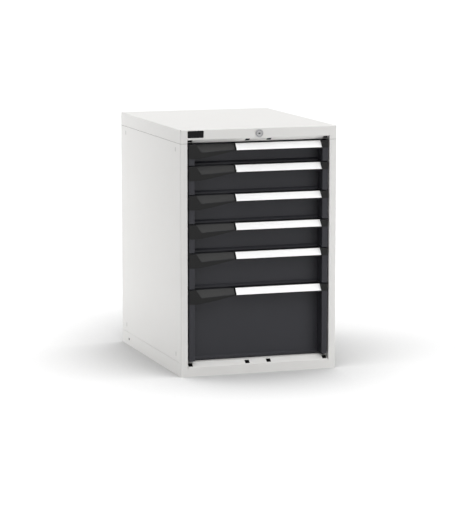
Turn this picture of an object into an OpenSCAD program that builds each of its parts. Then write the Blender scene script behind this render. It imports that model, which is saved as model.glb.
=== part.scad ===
// Workshop drawer cabinet: a folded steel body that holds six full-extension drawers of
// different heights, a catch on each drawer and one lock for all of them.
// Millimetres. Z is up, the front faces -Y, and the origin is on the floor, mid-cabinet.

/* [Body] */
// Overall width
cab_w = 564; // [520:1:720]
// Depth of the steel body, from its front face to its back
cab_d = 725; // [715:1:900]
// Thickness of the body's sheet
sheet_t = 1.2; // [0.8:0.1:2]
// Inner bend radius of the body's folds
bend_r = 2; // [1:0.5:4]
// Width of the seams between the body's panels
seam_gap = 0.8; // [0.3:0.1:0.9]
// Radius of the relief where the cover's folds meet at its front corners
relief_r = 1.4; // [1:0.1:1.6]
// Width of the folds that hold the back panel
back_fold = 20; // [14:1:40]
// Width of the flanges that stand on the floor
foot_w = 25; // [15:1:40]
// Height of the back panel's upper edge above the seam of the cover
back_lap = 20; // [10:1:30]

/* [Front frame] */
// Face width of the front posts
post_w = 25.5; // [22:0.5:30]
// Depth of the sloped edges of the opening, and of the posts' returns
frame_d = 22; // [18:1:28]
// Height of the flat face above the opening
head_face_h = 33; // [31:0.5:40]
// Height of the sloped edge above the opening
head_slope_h = 13.5; // [10:0.5:18]
// Height of the flat face below the opening
base_face_h = 31.5; // [24:0.5:60]
// Height of the sloped edge below the opening
base_slope_h = 16.8; // [10:0.1:20]
// Width of the lip behind the upper sloped edge
slope_lip = 10; // [5:1:12]
// Slit at the two ends of each sloped edge
slope_end_gap = 1.5; // [0.5:0.1:3]
// Width of the slots in the sloped edges
slot_w = 16; // [10:1:20]
// Depth of the slots, front to back
slot_d = 12.5; // [8:0.5:15]
// Middle of the inner pair of slots, from the cabinet's middle
slot_inner_x = 39; // [30:1:120]
// Distance from the opening's side to the middle of an outer slot
slot_outer_inset = 11.5; // [11:0.5:40]

/* [Drawers] */
// Height taken by the top drawer
drawer_1_h = 75; // [75:25:200]
// Height taken by the second drawer
drawer_2_h = 100; // [75:25:300]
// Height taken by the third drawer
drawer_3_h = 100; // [75:25:300]
// Height taken by the fourth drawer
drawer_4_h = 100; // [75:25:300]
// Height taken by the fifth drawer
drawer_5_h = 125; // [75:25:300]
// Height taken by the bottom drawer
drawer_6_h = 250; // [75:25:400]
// Free height above the top drawer
head_gap = 3.5; // [2.5:0.5:6]
// Free height below the bottom drawer
base_gap = 1.7; // [1:0.1:6]
// Gap between two fronts, one above the other
front_gap = 3.5; // [2:0.5:5]
// Gap between a front and the post beside it
side_gap = 4.5; // [2:0.5:6]
// Width of the flat strip at each end of a front
strip_w = 20.8; // [18:0.1:24]
// Depth of the folded edge behind a strip
strip_fold = 14; // [8:1:16]
// Depth of the recess between the strips
recess_d = 46; // [40:1:55]
// Thickness of the fronts' sheet
front_t = 1.2; // [0.8:0.1:2]
// Inner bend radius of the fronts' upright folds
front_bend_r = 0.8; // [0.4:0.1:1.5]
// Rise of the sloped edge along the foot of a recessed panel
foot_slope = 8; // [4:1:12]
// Length of a tray, front to back
tray_l = 614; // [560:1:640]
// Thickness of the trays' sheet
tray_t = 1; // [0.7:0.1:1.5]
// Height of a tray's floor above the foot of its space
tray_lift = 5; // [4:0.5:6]
// Distance from a tray's rim to the top of its space
tray_drop = 12; // [6:1:13]
// Width of a tray's turned-out rim
rim_w = 5; // [3:0.5:6]
// Pitch of the divider slots in a tray's sides
divider_pitch = 34; // [17:17:68]
// Width of a divider slot
divider_w = 4; // [2:0.5:6]
// Distance from a divider slot's ends to the tray's floor and rim
divider_inset = 12; // [8:1:20]

/* [Handles] */
// Distance from the top of a front to the top of its handle
grip_top = 2; // [1:0.5:4]
// How far the handle's upper edge lies behind the front
grip_back = 18; // [12:1:20]
// Height of the handle's sloping face
grip_drop = 23; // [18:1:26]
// Thickness of the sloping face
grip_t = 2.6; // [2.2:0.1:4]
// Thickness of the web that joins the handle to the panel
web_t = 2; // [1.8:0.1:3]
// Radius of the bead along the handle's lower edge
bead_r = 1.6; // [1.3:0.1:2.2]
// Length of the label and its handle
label_l = 311; // [250:1:313]
// Thickness of a label
label_t = 1; // [0.4:0.1:1.1]
// Depth of the label's groove
groove_d = 1.2; // [1.1:0.1:1.6]
// Width of the lips above and below a label
label_lip = 1.2; // [0.8:0.1:3]
// Play of a label in its groove
label_play = 0.1; // [0.05:0.05:0.3]

/* [Catches] */
// How far the plastic ends stand in front of the strips
cap_t = 2; // [1:0.1:2.8]
// Distance from the top of a front to its plastic ends
cap_top = 0.5; // [0.2:0.1:1]
// Height of the left end on the strip
housing_h = 49; // [42:1:52]
// Height of the right end on the strip
cap_h = 25; // [20:1:40]
// Thickness of the tongue that closes the handle's right end
tongue_t = 2; // [1:0.1:3]
// Thickness of the apron in front of a paddle
apron_t = 1.6; // [1:0.1:1.6]
// Thickness of the wall between paddle and label
end_wall_t = 2; // [1.5:0.1:3]
// Gap between that wall and the handle
end_wall_gap = 0.5; // [0.2:0.1:1]
// Thickness of a paddle
paddle_t = 2.2; // [1.6:0.1:3]
// How far the paddle's upper edge lies behind the front
paddle_back = 20; // [16:0.5:22]
// Lowest point of a paddle below the top of the front, at its left end
paddle_low = 28.4; // [26:0.1:30]
// Lowest point of a paddle below the top of the front, at its right end
paddle_high = 22; // [18:0.1:24]
// Radius of a paddle's lower left corner
paddle_corner_r = 4; // [1:0.5:6]
// Gap between a paddle and the apron behind which it swings
paddle_apron_gap = 0.7; // [0.4:0.1:1]
// Gap between a paddle and its housing at the slanting left edge
paddle_gap = 1.8; // [1.8:0.1:2.4]
// Gap between a paddle and the wall at its right edge
paddle_end_gap = 0.8; // [0.4:0.1:1.5]
// Distance from the recess's left side to the slanting edge, at the top
miter_top = 4.7; // [3:0.1:8]
// Distance from the recess's left side to the slanting edge, at the bottom
miter_low = 22.7; // [16:0.1:26]
// Distance from the recess's left side at which the apron's lower edge leaves the level
sweep_start = 9.4; // [6:0.1:14]
// Distance from the recess's left side to the point that the sweep first aims at
sweep_turn = 34; // [28:1:50]
// Radius of the rod on which a paddle turns
rod_r = 2; // [1.5:0.1:2.2]
// Radial play of the rod in its housing
rod_play = 0.06; // [0.03:0.01:0.1]
// Depth of the rod's axis below the top of the front
rod_drop = 4.8; // [4.5:0.1:5.5]
// Thickness of the hook on the rod's end
hook_t = 4; // [2:0.5:5]
// Wall of the hook around the rod
hook_wall = 1; // [0.8:0.1:1.5]
// Reach of the hook behind the rod
hook_reach = 14; // [10:1:16]
// Depth of the hook's nose below the rod
hook_nose = 6; // [5:0.5:8]
// Gap between a hook and its keeper
keeper_gap = 0.6; // [0.4:0.1:1]
// Height of a keeper
keeper_h = 6; // [4:0.5:8]

/* [Runners] */
// Distance from the body's front and back to the middle of the uprights
upright_inset = 58; // [56:1:70]
// Width of an upright, front to back
upright_d = 40; // [30:1:40]
// Wall of an upright
upright_t = 1.5; // [1:0.1:2]
// Gap between the posts and the rails that pass them
rail_pass_gap = 1; // [0.5:0.1:2]
// Height of the rails fixed to the uprights
rail_h = 42; // [38:1:43]
// Thickness of the rails
rail_t = 1.5; // [1:0.1:2]
// Running gap between two rails
rail_gap = 0.4; // [0.3:0.05:0.6]
// Width of the fixed rails
rail_w = 14; // [11:0.5:16]
// Gap between the middle rail's edge and the drawer rail's web
rail_clear = 6; // [3:0.5:8]
// Distance from the foot of a drawer's space to its rails
rail_lift = 6; // [5.5:0.5:7]
// Length of the middle rails and the drawer rails
rail_l = 600; // [500:1:610]
// Distance from the front to a middle rail
mid_rail_inset = 49; // [44:1:56]
// Width of the hooks of a fixed rail
rail_hook_w = 3; // [2:0.5:5]
// Height of the hooks of a fixed rail
rail_hook_h = 10; // [6:1:14]
// Length of the hooks of a fixed rail behind the upright's wall
rail_hook_l = 4; // [2:0.5:8]
// Play around a hook or tab in its slot
slot_play = 0.3; // [0.2:0.1:0.6]
// Width of the tabs that hold an upright to the side panel
tab_w = 9; // [6:1:14]
// Height of those tabs
tab_h = 14; // [8:1:20]
// How far those tabs end inside the panel's face
tab_inset = 0.3; // [0.1:0.1:0.6]
// Distance from the floor to the lower tabs
tab_low = 73; // [60:1:110]
// Distance from the top to the upper tabs
tab_high = 70; // [60:1:110]

/* [Lock] */
// Depth of the lock's axis below the top
lock_drop = 18.3; // [16:0.1:18.5]
// Radius of the lock's rim
lock_rim_r = 14.2; // [12:0.1:15]
// How far the rim stands in front of the body
lock_rim_t = 3; // [2.9:0.1:4]
// Radius of the barrel behind the rim
barrel_r = 9.5; // [8:0.1:11]
// Length of the barrel behind the front face
barrel_l = 20; // [14:0.5:20]
// Radial play of the barrel in the cover
barrel_play = 0.2; // [0.1:0.05:0.4]
// Radius of the turning plug
plug_r = 6; // [5:0.1:7]
// Radial play of the plug in the barrel
plug_play = 0.05; // [0.02:0.01:0.1]
// How far the plug's face lies behind the rim's face
plug_inset = 0.6; // [0.2:0.1:1.5]
// Width of the keyway
key_w = 8; // [6:0.5:9]
// Height of the keyway
key_h = 2.4; // [1.5:0.1:3]
// Depth of the keyway
key_d = 16; // [8:1:18]
// Radius of the cam's disc
cam_r = 11; // [10:0.5:12]
// Thickness of the cam's disc
cam_t = 2; // [1.5:0.1:3]
// Gap between the barrel and the cam
cam_gap = 0.4; // [0.2:0.1:0.8]
// Distance from the lock's axis to the cam's pin
pin_arm = 7; // [6:0.1:7.4]
// Radius of the cam's pin
pin_r = 2.5; // [2:0.1:2.6]
// Play between the cam's pin and its slot
pin_play = 0.4; // [0.3:0.05:0.6]
// Thickness of the lock arm
arm_t = 3; // [2:0.5:4]
// Height of the lock arm
arm_h = 14; // [12:1:16]
// Width of the upright lock bar
bar_w = 12; // [8:1:14]
// Thickness of the upright lock bar
bar_t = 4; // [3:0.5:5]
// Running gap between the lock bar and its upright
bar_gap = 0.3; // [0.2:0.1:0.6]
// Height of the lock bar's hooks and of the lugs they hold
lug_h = 8; // [6:0.5:8]
// Free height between a drawer's rails and its lug
lug_lift = 5; // [4.5:0.5:6]
// Gap between a lug and its hook, above and in front
lug_gap = 1; // [0.6:0.1:1.5]
// Length of a lug
lug_w = 15; // [10:0.5:16]
// Thickness of a lug
lug_t = 5; // [3:0.5:8]

/* [Fittings] */
// Width of the blank badge
badge_w = 57; // [30:1:90]
// Height of the blank badge
badge_h = 24; // [16:0.5:26]
// Thickness of the blank badge
badge_t = 1; // [0.5:0.1:2]
// Corner radius of the blank badge
badge_r = 3; // [1:0.5:6]
// Distance from the top to the badge's upper edge
badge_drop = 3.5; // [3:0.5:6]
// Radius of the fixing hole in each side of the plinth
plinth_hole_r = 3.5; // [2.5:0.1:6]
// Height of that hole above the floor
plinth_hole_z = 24; // [14:1:30]
// Distance from the body's back to that hole
plinth_hole_inset = 89; // [40:1:200]

/* [Hidden] */
$fn = 64;
CURVE_STEPS = 16;
CUT = 1;
LOCK_TURN = 90;

BODY_NODES = ["left_side_panel", "right_side_panel", "back_panel", "top_cover", "base_frame",
    "plinth_rails", "runner_uprights", "cabinet_rails", "lock_barrel", "lock_plug", "lock_bar",
    "badge_plate"];
DRAWER_NODES = ["tray", "front", "handle", "label", "end_caps", "catch_lever", "rails", "mid_rails"];

drawer_heights = [drawer_1_h, drawer_2_h, drawer_3_h, drawer_4_h, drawer_5_h, drawer_6_h];
drawer_count = len(drawer_heights);

// The span of a given size about a middle, widened by some play
function span(middle, size, play = 0) = [middle - size / 2 - play, middle + size / 2 + play];

function sum_from(list, i) = i < len(list) ? list[i] + sum_from(list, i + 1) : 0;

// Heights of the body
base_top = base_face_h + base_slope_h;
base_h = base_top + base_gap;
cover_h = head_face_h + head_slope_h;
cab_h = base_h + sum_from(drawer_heights, 0) + head_gap + cover_h;
cover_z = cab_h - cover_h;
head_z = cab_h - head_face_h;
plinth_top = base_top - sheet_t;
wall_z0 = plinth_top + seam_gap;
wall_z1 = cover_z - seam_gap;

// Half widths, from the body's outer face inwards
bend_o = bend_r + sheet_t;
x_out = cab_w / 2;
x_in = x_out - sheet_t;
x_open = x_out - post_w;
x_strip = x_open - side_gap;
x_recess = x_strip - strip_w;
x_tray = x_recess;

// Depths: y0 is the body's front face
y0 = (lock_rim_t - cab_d) / 2;
panel_back = recess_d + front_t;
upright_places = [upright_inset, cab_d - upright_inset];
upright_front_end = upright_inset + upright_d / 2;

// Rails: the middle ones clear the posts, and the others nest outside and inside them
rail_step = rail_t + rail_gap;
x_mid = x_open - rail_pass_gap;
x_rack = x_mid + rail_step;
x_mid_edge = x_tray + rail_t + rail_clear;
x_drawer_rail_edge = x_mid - rail_step;
fixed_rail_inset = upright_inset - upright_d / 2 + rail_gap;

// Handle: its face slopes from (grip_back, grip_top) down to the front plane
grip_angle = atan2(grip_back, grip_drop);
grip_l = norm([grip_back, grip_drop]);
groove_end = grip_l - max(label_lip, bead_r);
x_handle_end = x_recess - tongue_t;
x_handle_start = x_handle_end - label_l;

// Catch: the paddle lies behind the apron and left of the end wall
x_wall_end = x_handle_start - end_wall_gap;
x_wall_start = x_wall_end - end_wall_t;
apron_back = apron_t - cap_t;
paddle_front = apron_back + paddle_apron_gap;
paddle_angle = atan2(paddle_back - paddle_front, paddle_low - grip_top);
miter_low_drop = paddle_low + paddle_apron_gap;
rod_v = paddle_back + paddle_t / 2 - (rod_drop - grip_top) * tan(paddle_angle) + paddle_t;
hook_x0 = -(x_strip + x_recess + hook_t) / 2;
keeper_drop = rod_drop + hook_nose + keeper_gap;
hook_edge = rod_r + hook_wall;

// Lock
lock_z = cab_h - lock_drop;
cam_v = barrel_l + cam_gap;
arm_v = cam_v + cam_t + cam_gap;
pin_reach = pin_arm * cos(LOCK_TURN / 2);
lock_travel = 2 * pin_arm * sin(LOCK_TURN / 2);
arm_z = lock_z + pin_arm * sin(LOCK_TURN / 2) - arm_h / 2;
bar_v = upright_front_end + bar_gap;
bar_x = x_rack + upright_t + bar_gap;
arm_x = x_open - arm_t;
lug_z = rail_lift + rail_h + lug_lift;
lug_v = bar_v + bar_t + lug_gap;
hook_z = lug_z + lug_h + lug_gap;

// Top and foot of drawer k's space, counted from the top drawer
function space_foot(k) = base_h + sum_from(drawer_heights, k);
function space_top(k) = space_foot(k) + drawer_heights[k - 1];

// A point (depth behind the front face, drop below a drawer's top) as [y, z]
function at(k, v, w) = [y0 + v, space_top(k) - w];

// A point on the handle's sloping face: s down the face, n out of it
function on_grip(k, s, n) = at(k, grip_back - s * sin(grip_angle) - n * cos(grip_angle),
    grip_top + s * cos(grip_angle) - n * sin(grip_angle));

// A point on a paddle's face, with its thickness t behind the face
function on_paddle(k, w, t) = at(k,
    paddle_back - (w - grip_top) * tan(paddle_angle) + t / cos(paddle_angle), w);

// Half the angle of the corner c between a and b, the distance from it to where an arc of
// radius r leaves its sides, and that arc's centre
function unit(v) = v / norm(v);
function half_corner(a, c, b) = acos(unit(a - c) * unit(b - c)) / 2;
function arc_reach(a, c, b, r) = r / tan(half_corner(a, c, b));
function arc_centre(a, c, b, r) = c + unit(unit(a - c) + unit(b - c)) * r / sin(half_corner(a, c, b));

// Point t of the quadratic curve through a, towards b, to c
function curve(a, b, c, t) = (1 - t) * (1 - t) * a + 2 * t * (1 - t) * b + t * t * c;

module block(x, v, z) {
    translate([x[0], y0 + v[0], z[0]])
        cube([x[1] - x[0], v[1] - v[0], z[1] - z[0]]);
}

// Extrudes a (Y, Z) outline along X
module along_x(x) {
    translate([x[0], 0, 0])
        rotate([90, 0, 90])
            linear_extrude(x[1] - x[0])
                children();
}

// Extrudes an (X, Z) outline along Y
module along_y(v) {
    translate([0, y0 + v[1], 0])
        rotate([90, 0, 0])
            linear_extrude(v[1] - v[0])
                children();
}

// A rod along Y or X
module rod_y(x, z, r, v) {
    translate([x, y0 + v[1], z])
        rotate([90, 0, 0])
            cylinder(r = r, h = v[1] - v[0]);
}

module rod_x(yz, r, x) {
    translate([x[0], yz[0], yz[1]])
        rotate([0, 90, 0])
            cylinder(r = r, h = x[1] - x[0]);
}

module both_sides() {
    children();
    mirror([1, 0, 0])
        children();
}

// Quarter of a bend of inner radius r in a sheet of thickness t, in the quadrant given by the signs
module bend(sx, sy, r = bend_r, t = sheet_t) {
    intersection() {
        difference() {
            circle(r = r + t);
            circle(r = r);
        }
        translate([min(sx, 0) * (r + t), min(sy, 0) * (r + t)])
            square(r + t);
    }
}

// Plan of the body with round corners, drawn in from the outer face
module body_plan(inset) {
    r = bend_o - inset;
    w = cab_w - 2 * inset;
    d = cab_d - 2 * inset;
    translate([0, y0 + cab_d / 2]) {
        square([w - 2 * r, d], center = true);
        square([w, d - 2 * r], center = true);
        for (sx = [-1, 1], sy = [-1, 1])
            translate([sx * (w / 2 - r), sy * (d / 2 - r)])
                circle(r = r);
    }
}

// Plan of the right front post: face, return and the folds at both edges
module post_plan() {
    translate([x_open + bend_o, y0])
        square([post_w - 2 * bend_o, sheet_t]);
    translate([x_open, y0 + bend_o])
        square([sheet_t, frame_d - bend_o]);
    translate([x_open + bend_o, y0 + bend_o])
        bend(-1, -1);
    translate([x_out - bend_o, y0 + bend_o])
        bend(1, -1);
}

// Plan of the post's foot, whose face runs straight on to the sill
module post_foot_plan() {
    translate([x_open, y0])
        square([post_w - bend_o, sheet_t]);
    translate([x_open, y0])
        square([sheet_t, frame_d]);
    translate([x_out - bend_o, y0 + bend_o])
        bend(1, -1);
}

// Plan of the right side: post, wall and the fold for the back panel
module side_plan() {
    post_plan();
    translate([x_in, y0 + bend_o])
        square([sheet_t, cab_d - 2 * bend_o]);
    translate([x_out - bend_o, y0 + cab_d - bend_o])
        bend(1, 1);
    translate([x_out - back_fold, y0 + cab_d - sheet_t])
        square([back_fold - bend_o, sheet_t]);
}

// Four slots across a sloped edge, between two heights
module slope_slots(z) {
    outer_x = x_open - slot_outer_inset;
    for (x = [-outer_x, -slot_inner_x, slot_inner_x, outer_x])
        block(span(x, slot_w), span(frame_d / 2, slot_d), z);
}

module tab_spans(play, x) {
    for (v = upright_places, z = [tab_low, cab_h - tab_high])
        block(x, span(v, tab_w, play), span(z, tab_h, play));
}

module side_panel() {
    difference() {
        union() {
            linear_extrude(base_face_h)
                post_foot_plan();
            translate([0, 0, base_face_h])
                linear_extrude(wall_z0 - base_face_h)
                    post_plan();
            translate([0, 0, wall_z0])
                linear_extrude(wall_z1 - wall_z0)
                    side_plan();
        }
        tab_spans(slot_play, [x_in - CUT, x_out + CUT]);
    }
}

// Keepers stand on the left post's return, one below each catch's hook
module left_side_panel() {
    color("gainsboro") {
        mirror([1, 0, 0])
            side_panel();
        for (k = [1:drawer_count])
            block([-x_open - sheet_t / 2, hook_x0 + hook_t],
                [frame_d - sheet_t * 2, rod_v + hook_reach - hook_t - keeper_gap],
                [space_top(k) - keeper_drop - keeper_h, space_top(k) - keeper_drop]);
    }
}

module right_side_panel() {
    color("gainsboro")
        side_panel();
}

module back_panel() {
    x_back = x_in - bend_r;
    color("gainsboro")
        block([-x_back, x_back], [cab_d - 2 * sheet_t, cab_d - sheet_t], [base_top, cover_z + back_lap]);
}

// The folded edge above the opening: slope and lip
module head_slope() {
    slope_t = sheet_t * norm([frame_d, head_slope_h]) / frame_d;
    lip_v = frame_d + slope_lip;
    along_x([slope_end_gap - x_open, x_open - slope_end_gap])
        translate([y0, 0])
            polygon([[0, head_z], [frame_d, cover_z], [lip_v, cover_z], [lip_v, cover_z + sheet_t],
                [frame_d, cover_z + slope_t], [0, head_z + slope_t]]);
}

// Top sheet of the cover with the round folds along its edges and the round corners between them
module cover_top() {
    x = x_out - bend_o;
    v = [bend_o, cab_d - bend_o];
    z = cab_h - bend_o;
    block([-x, x], v, [cab_h - sheet_t, cab_h]);
    for (s = [-1, 1]) {
        along_y(v)
            translate([s * x, z])
                bend(s, 1);
        along_x([-x, x])
            translate([y0 + v[(s + 1) / 2], z])
                bend(s, 1);
    }
    for (corner = [[x, v[1], 0], [-x, v[1], 90], [-x, v[0], 180], [x, v[0], 270]])
        translate([corner[0], y0 + corner[1], z])
            rotate([0, 0, corner[2]])
                rotate_extrude(angle = 90)
                    bend(1, 1);
}

// Small round relief at the right front corner, where three folds meet
module corner_relief() {
    reach = bend_o / sqrt(3);
    translate([x_out - bend_o + reach, y0 + bend_o - reach, cab_h - bend_o + reach])
        sphere(r = relief_r);
}

module top_cover() {
    x_fold = x_open + bend_o;
    color("whitesmoke")
        difference() {
            union() {
                cover_top();
                difference() {
                    translate([0, 0, cover_z])
                        linear_extrude(cover_h - bend_o)
                            difference() {
                                body_plan(0);
                                body_plan(sheet_t);
                            }
                    block([-x_fold, x_fold], [-CUT, sheet_t + CUT], [cover_z - CUT, head_z]);
                }
                both_sides()
                    translate([0, 0, cover_z])
                        linear_extrude(head_slope_h + sheet_t)
                            post_plan();
                head_slope();
            }
            both_sides()
                corner_relief();
            slope_slots([cover_z + sheet_t * 2, head_z + sheet_t * 2]);
            rod_y(0, lock_z, barrel_r + barrel_play, [-CUT, sheet_t + CUT]);
        }
}

// Folded sill and floor: face, slope, floor and a foot along the front
module base_frame() {
    slope_t = sheet_t * norm([frame_d, base_slope_h]) / frame_d;
    floor_z = [base_top - sheet_t, base_top];
    x_back = x_out - back_fold - seam_gap;
    color("gainsboro") {
        difference() {
            along_x([slope_end_gap - x_open, x_open - slope_end_gap])
                translate([y0, 0])
                    polygon([[0, 0], [0, base_face_h], [frame_d, base_top], [frame_d + sheet_t, base_top],
                        [frame_d + sheet_t, base_top - sheet_t], [frame_d, base_top - slope_t],
                        [sheet_t, base_face_h - slope_t + sheet_t / 2], [sheet_t, sheet_t],
                        [foot_w, sheet_t], [foot_w, 0]]);
            slope_slots([base_face_h - sheet_t * 2, base_top - sheet_t * 2]);
        }
        block([-x_open, x_open], [0, sheet_t], [0, base_face_h - sheet_t]);
        block([-x_in, x_in], [frame_d, cab_d - bend_o], floor_z);
        block([-x_back, x_back], [frame_d, cab_d - sheet_t], floor_z);
        block([-x_back, x_back], [cab_d - sheet_t, cab_d], [0, base_top]);
        block([-x_in, x_in], [cab_d - sheet_t, cab_d], [0, plinth_top]);
    }
}

// Sides of the plinth: a wall with one fixing hole, and the flat foot strip welded inside it
module plinth_rails() {
    color("gainsboro")
        both_sides() {
            difference() {
                block([x_in, x_out], [bend_o + seam_gap, cab_d], [0, plinth_top]);
                rod_x([y0 + cab_d - plinth_hole_inset, plinth_hole_z], plinth_hole_r,
                    [x_in - CUT, x_out + CUT]);
            }
            block([x_out - foot_w, x_in], [foot_w + sheet_t, cab_d - sheet_t], [0, sheet_t]);
        }
}

// Hooks of the fixed rails of drawer k, with play around them for the slots
module rail_hooks(k, play, x) {
    z = space_foot(k) + rail_lift + rail_h / 2;
    for (v = upright_places)
        block(x, span(v, rail_hook_w, play), span(z, rail_hook_h, play));
}

// Four box-section uprights, slotted for the rails and tabbed to the side panels
module runner_uprights() {
    hollow_d = upright_d - 2 * upright_t;
    upright_z = [base_top, cab_h - bend_o];
    color("silver")
        both_sides()
            difference() {
                union() {
                    for (v = upright_places)
                        block([x_rack, x_in], span(v, upright_d), upright_z);
                    tab_spans(0, [x_in, x_out - tab_inset]);
                }
                for (v = upright_places)
                    block([x_rack + upright_t, x_in - upright_t], span(v, hollow_d),
                        [base_top - CUT, cab_h]);
                for (k = [1:drawer_count])
                    rail_hooks(k, slot_play, [x_rack - CUT, x_rack + upright_t + CUT]);
            }
}

// Cross-section of a rail: web at x_web, flanges towards x_edge
module channel(x_web, x_edge, z, h) {
    x0 = min(x_web, x_edge);
    w = abs(x_edge - x_web);
    hollow_x = x_edge > x_web ? x0 + rail_t : x0 - CUT;
    difference() {
        translate([x0, z])
            square([w, h]);
        translate([hollow_x, z + rail_t])
            square([w - rail_t + CUT, h - 2 * rail_t]);
    }
}

module cabinet_rails() {
    color("darkgray")
        both_sides()
            for (k = [1:drawer_count]) {
                along_y([fixed_rail_inset, cab_d - fixed_rail_inset])
                    channel(x_rack, x_rack - rail_w, space_foot(k) + rail_lift, rail_h);
                rail_hooks(k, 0, [x_rack - rail_t, x_rack + upright_t + rail_hook_l]);
            }
}

module drawer_mid_rails(k) {
    z = space_foot(k) + rail_lift + rail_step;
    color("silver")
        both_sides()
            along_y([mid_rail_inset, mid_rail_inset + rail_l])
                channel(x_mid, x_mid_edge, z, rail_h - 2 * rail_step);
}

module drawer_rails(k) {
    z = space_foot(k) + rail_lift + 2 * rail_step;
    color("darkgray")
        both_sides()
            along_y([panel_back, panel_back + rail_l])
                channel(x_tray, x_drawer_rail_edge, z, rail_h - 4 * rail_step);
}

// Tray with turned-out rims, slots for dividers and the lug that the lock holds
module drawer_tray(k) {
    foot = space_foot(k) + tray_lift;
    rim = space_top(k) - tray_drop;
    tray_v = [panel_back, panel_back + tray_l];
    slot_z = [foot + divider_inset, rim - divider_inset];
    slot_v = [panel_back, panel_back + divider_w];
    slots = floor((tray_l - 2 * divider_pitch) / divider_pitch);
    color("dimgray") {
        block([-x_tray, x_tray], tray_v, [foot, foot + tray_t]);
        block([-x_tray, x_tray], [tray_v[1] - tray_t, tray_v[1]], [foot, rim]);
        both_sides()
            difference() {
                union() {
                    block([x_tray - tray_t, x_tray], tray_v, [foot, rim]);
                    block([x_tray - tray_t, x_tray + rim_w], tray_v, [rim - tray_t, rim]);
                }
                for (i = [1:slots])
                    translate([0, i * divider_pitch, 0])
                        block([x_tray - tray_t - CUT, x_tray + CUT], slot_v, slot_z);
            }
        block([x_tray - tray_t, x_tray + lug_w], [lug_v, lug_v + lug_t],
            [space_foot(k) + lug_z, space_foot(k) + lug_z + lug_h]);
    }
}

// Plan of a front's right end: cheek, strip and the edge folded behind it
module strip_plan() {
    r = front_bend_r + front_t;
    translate([x_recess, y0 + r])
        square([front_t, panel_back - r]);
    translate([x_recess + r, y0])
        square([strip_w - 2 * r, front_t]);
    translate([x_strip - front_t, y0 + r])
        square([front_t, strip_fold - r]);
    translate([x_recess + r, y0 + r])
        bend(-1, -1, front_bend_r, front_t);
    translate([x_strip - r, y0 + r])
        bend(1, -1, front_bend_r, front_t);
}

// Front folded from one sheet: strips, cheeks, recessed panel and its sloped foot
module drawer_front(k) {
    foot = space_foot(k) + front_gap;
    front_z = [foot, space_top(k)];
    slope_v = recess_d - foot_slope;
    slope_z = front_t + foot_slope;
    color("darkslategray")
        difference() {
            union() {
                block([-x_recess - front_t, x_recess + front_t], [recess_d, panel_back], front_z);
                both_sides()
                    translate([0, 0, foot])
                        linear_extrude(front_z[1] - foot)
                            strip_plan();
                along_x([-x_recess, x_recess])
                    translate([y0, foot])
                        polygon([[slope_v, 0], [slope_v, front_t], [recess_d, slope_z],
                            [panel_back, slope_z], [panel_back, foot_slope], [slope_v + front_t, 0]]);
            }
            rod_x(at(k, rod_v, rod_drop), rod_r + slot_play, [-x_recess - front_t - CUT, -x_recess + CUT]);
        }
}

// Handle section: web, sloping face with a groove for the label, and a bead below
module drawer_handle(k) {
    inner_s = (web_t - grip_t * sin(grip_angle)) / cos(grip_angle);
    color("whitesmoke")
        along_x([x_handle_start, x_handle_end]) {
            polygon([at(k, recess_d, grip_top), on_grip(k, 0, 0), on_grip(k, label_lip, 0),
                on_grip(k, label_lip, -groove_d), on_grip(k, groove_end, -groove_d),
                on_grip(k, groove_end, 0), on_grip(k, grip_l, 0), on_grip(k, grip_l, -grip_t),
                on_grip(k, inner_s, -grip_t), at(k, recess_d, grip_top + web_t)]);
            translate(on_grip(k, grip_l, -bead_r))
                circle(r = bead_r);
        }
}

module drawer_label(k) {
    top = label_lip + label_play;
    low = groove_end - label_play;
    back = label_play - groove_d;
    color("white")
        along_x([x_handle_start, x_handle_end])
            polygon([on_grip(k, top, back), on_grip(k, top, back + label_t),
                on_grip(k, low, back + label_t), on_grip(k, low, back)]);
}

// Outline of the left end: strip cover and the apron that sweeps up to the right
module apron_outline(k) {
    top = space_top(k);
    edge_right = [x_wall_end, top - paddle_high - paddle_apron_gap];
    low_right = edge_right - [0, apron_t];
    low_left = [-x_recess + sweep_start, top - housing_h];
    turn = [-x_recess + sweep_turn, top - housing_h];
    sweep = [for (i = [0:CURVE_STEPS]) curve(low_right, turn, low_left, i / CURVE_STEPS)];
    polygon(concat([[-x_strip, top - housing_h], [-x_strip, top - cap_top],
        [-x_recess + miter_top, top - cap_top], [-x_recess + miter_low, top - miter_low_drop],
        edge_right], sweep));
}

// Housing of the catch at the left end of a handle
module catch_housing(k) {
    top = space_top(k);
    rod_at = at(k, rod_v, rod_drop);
    difference() {
        union() {
            along_y([-cap_t, apron_back])
                apron_outline(k);
            block([-x_strip, -x_recess], [-cap_t, 0], [top - housing_h, top - cap_top]);
            along_y([-cap_t, recess_d])
                polygon([[-x_recess, top - cap_top], [-x_recess + miter_top, top - cap_top],
                    [-x_recess + miter_low, top - miter_low_drop], [-x_recess, top - miter_low_drop]]);
            along_x([x_wall_start, x_wall_end])
                polygon([at(k, recess_d, cap_top), at(k, grip_back, cap_top), on_grip(k, 0, 0),
                    at(k, -cap_t, paddle_high), at(k, -cap_t, paddle_high + paddle_apron_gap + apron_t),
                    at(k, recess_d, paddle_high + paddle_apron_gap + apron_t)]);
        }
        rod_x(rod_at, rod_r + rod_play, [-x_recess - CUT, x_wall_end + CUT]);
    }
}

// Cap on the right strip, with a tongue that closes the handle's end
module right_cap(k) {
    top = space_top(k);
    block([x_handle_end, x_strip], [-cap_t, 0], [top - cap_h, top - cap_top]);
    along_x([x_handle_end, x_recess])
        polygon([at(k, recess_d, cap_top), at(k, grip_back, cap_top), at(k, -cap_t, grip_drop),
            at(k, -cap_t, cap_h), at(k, recess_d, cap_h)]);
}

module drawer_end_caps(k) {
    color("#2a2a2b") {
        catch_housing(k);
        right_cap(k);
    }
}

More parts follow.
